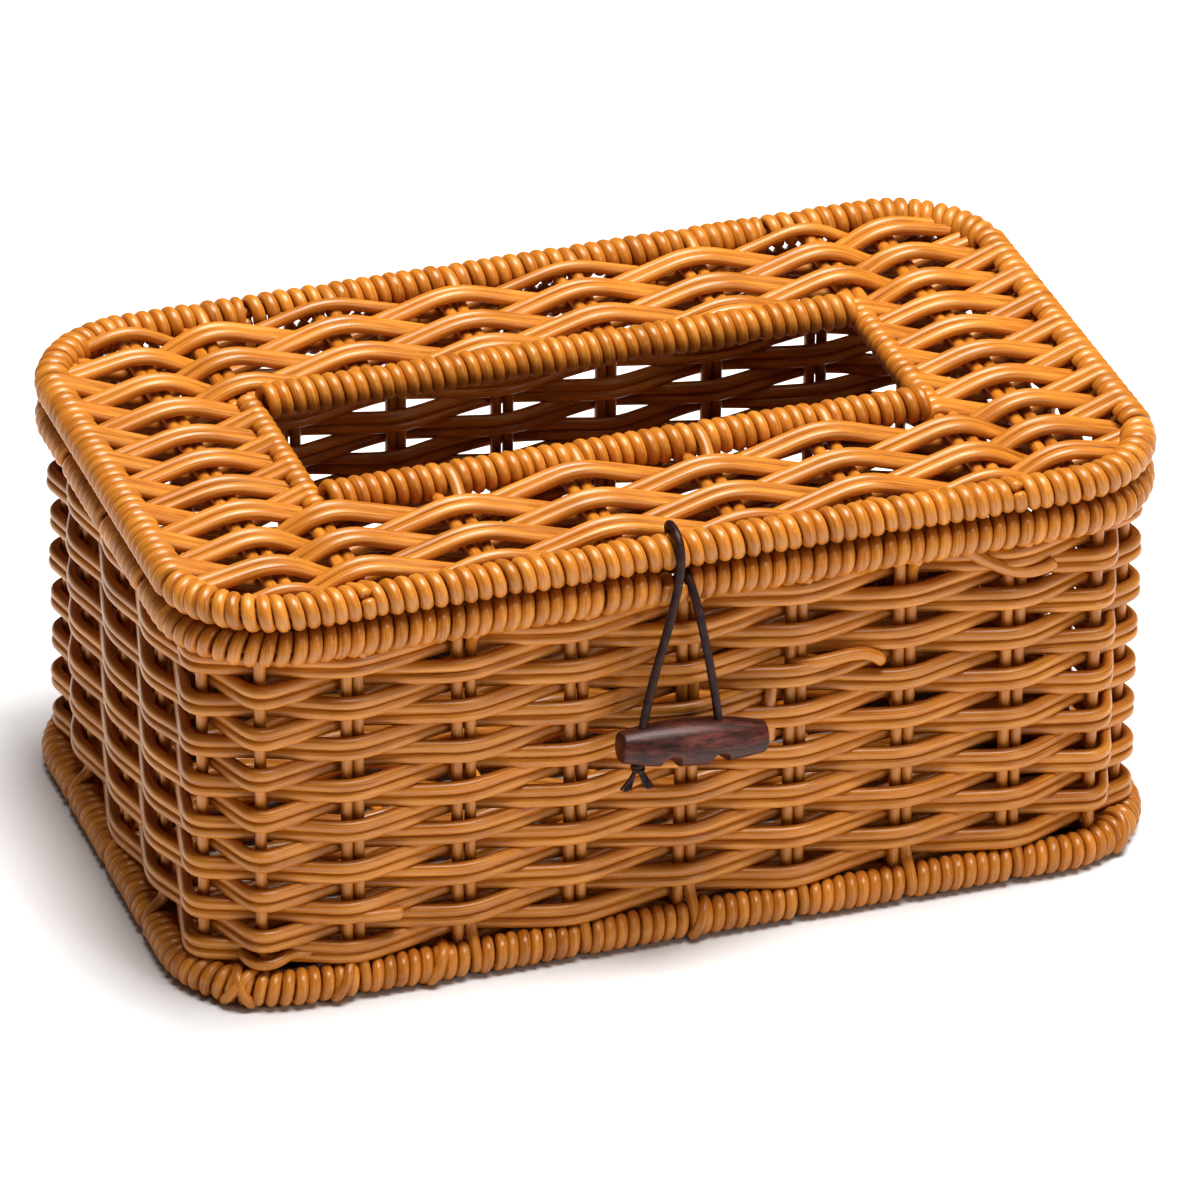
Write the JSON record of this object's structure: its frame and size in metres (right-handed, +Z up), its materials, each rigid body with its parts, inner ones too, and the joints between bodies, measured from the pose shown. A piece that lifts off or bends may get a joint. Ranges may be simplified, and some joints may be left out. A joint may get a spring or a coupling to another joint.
{
  "type": "tissue box cover",
  "caption": "Woven imitation-rattan tissue box cover with wrapped rims, a lid hinged at the back, a dispensing slot in the lid and a wooden toggle on a cord at the front.",
  "frame": {"origin": "on the floor under the middle of the basket", "axes": "+X to the right seen from the front, +Y to the back where the lid is hinged, +Z up"},
  "size_m": [0.26, 0.1689, 0.1185],
  "materials": {
    "rattan": "satin extruded strand with fine lengthwise streaks",
    "toggle_wood": "dark waxed wood",
    "cord_leather": "dark round cord"
  },
  "bodies": {
    "basket": {"back_stakes": "rattan", "base_core": "rattan", "base_corner_wraps": "rattan", "base_wrap_back": "rattan", "base_wrap_front": "rattan", "base_wrap_left": "rattan", "base_wrap_right": "rattan", "floor_stakes": "rattan", "floor_weave": "rattan", "front_stakes": "rattan", "hinge_loop_left": "rattan", "hinge_loop_right": "rattan", "left_stakes": "rattan", "right_stakes": "rattan", "top_core": "rattan", "top_corner_wraps": "rattan", "top_wrap_back": "rattan", "top_wrap_front": "rattan", "top_wrap_left": "rattan", "top_wrap_right": "rattan", "weave_row_01": "rattan", "weave_row_02": "rattan", "weave_row_03": "rattan", "weave_row_04": "rattan", "weave_row_05": "rattan", "weave_row_06": "rattan", "weave_row_07": "rattan", "weave_row_08": "rattan", "weave_row_09": "rattan", "weave_row_10": "rattan", "weave_row_11": "rattan", "weave_row_12": "rattan", "weave_row_13": "rattan", "weave_row_14": "rattan", "weave_row_15": "rattan"},
    "lid": {"lid_core": "rattan", "lid_corner_wraps": "rattan", "lid_stakes": "rattan", "lid_weave_back": "rattan", "lid_weave_front": "rattan", "lid_weave_left": "rattan", "lid_weave_right": "rattan", "lid_wrap_back": "rattan", "lid_wrap_front": "rattan", "lid_wrap_left": "rattan", "lid_wrap_right": "rattan", "slot_long_rods": "rattan", "slot_side_rods": "rattan", "slot_wrap_back": "rattan", "slot_wrap_front": "rattan", "slot_wrap_left": "rattan", "slot_wrap_right": "rattan"},
    "pull": {"pull_cord": "cord_leather", "cord_knot": "cord_leather", "toggle": "toggle_wood"}
  },
  "joints": [
    {"name": "lid_hinge", "type": "hinge", "parent": "basket", "child": "lid", "pos_m": [0, 0.07425, 0.11125], "axis": [-1, 0, 0], "range_deg": [0, 120]},
    {"name": "pull_swing", "type": "hinge", "parent": "lid", "child": "pull", "pos_m": [-0.0034, -0.07425, 0.11125], "axis": [-1, 0, 0], "range_deg": [0, 90]}
  ]
}
